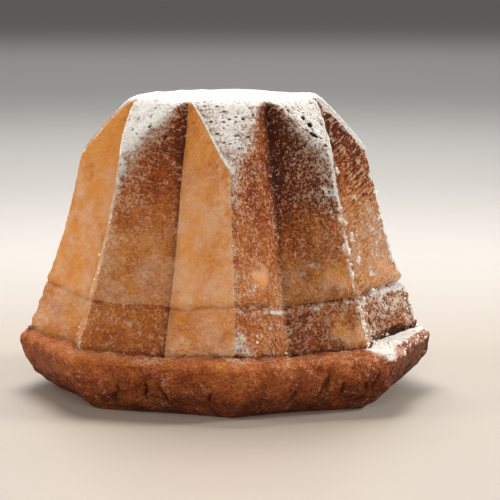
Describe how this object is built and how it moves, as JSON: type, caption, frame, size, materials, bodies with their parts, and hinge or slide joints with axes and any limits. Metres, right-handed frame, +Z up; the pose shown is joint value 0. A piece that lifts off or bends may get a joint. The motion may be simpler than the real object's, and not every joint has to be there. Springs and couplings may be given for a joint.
{
  "type": "pandoro",
  "caption": "Tall uncut star-shaped sweet bread with a flat sugared top, bevelled shoulders, flaring points and a puffed rim below.",
  "frame": {"origin": "middle of the footprint, on the surface that the flat foot rests on", "axes": "+Z up along the axis, -Y the front that the picture shows, +X to the right; one of the points lies on each axis"},
  "size_m": [0.225, 0.2274, 0.162],
  "materials": {
    "crust": "golden to dark brown baked crust, dusted with icing sugar",
    "sugar": "loose white icing sugar"
  },
  "bodies": {
    "root": {"pandoro": "crust"}
  },
  "joints": []
}
